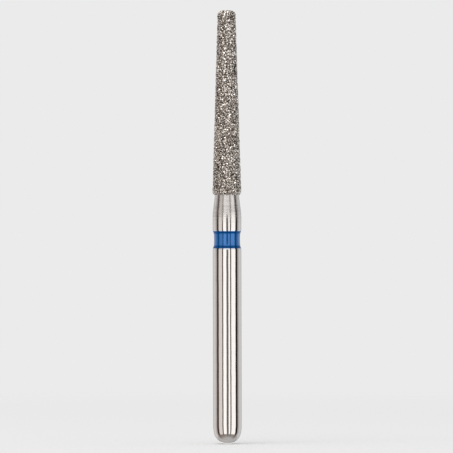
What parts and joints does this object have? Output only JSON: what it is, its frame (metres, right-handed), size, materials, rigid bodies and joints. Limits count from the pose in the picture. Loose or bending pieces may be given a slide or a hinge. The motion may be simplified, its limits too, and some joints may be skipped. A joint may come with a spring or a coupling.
{
  "type": "dental bur",
  "caption": "Tapered diamond-coated dental bur with a friction-grip shank and a blue colour band in its ring groove, for shaping and removing tooth material.",
  "frame": {"origin": "apex of the shank's domed end, on the axis of rotation", "axes": "+Z along the axis of rotation from the shank to the cutting tip; X and Y are any pair across it"},
  "size_m": [0.0016, 0.0016, 0.0242],
  "materials": {
    "steel": "stainless steel, ground and polished, with fine turning marks round the neck",
    "lacquer": "glossy blue lacquer",
    "diamond_grit": "medium diamond grains standing out of a plated nickel bond, warm grey with bright facets"
  },
  "bodies": {
    "root": {"turned_blank": "steel", "colour_band": "lacquer", "diamond_coat": "diamond_grit"}
  },
  "joints": []
}
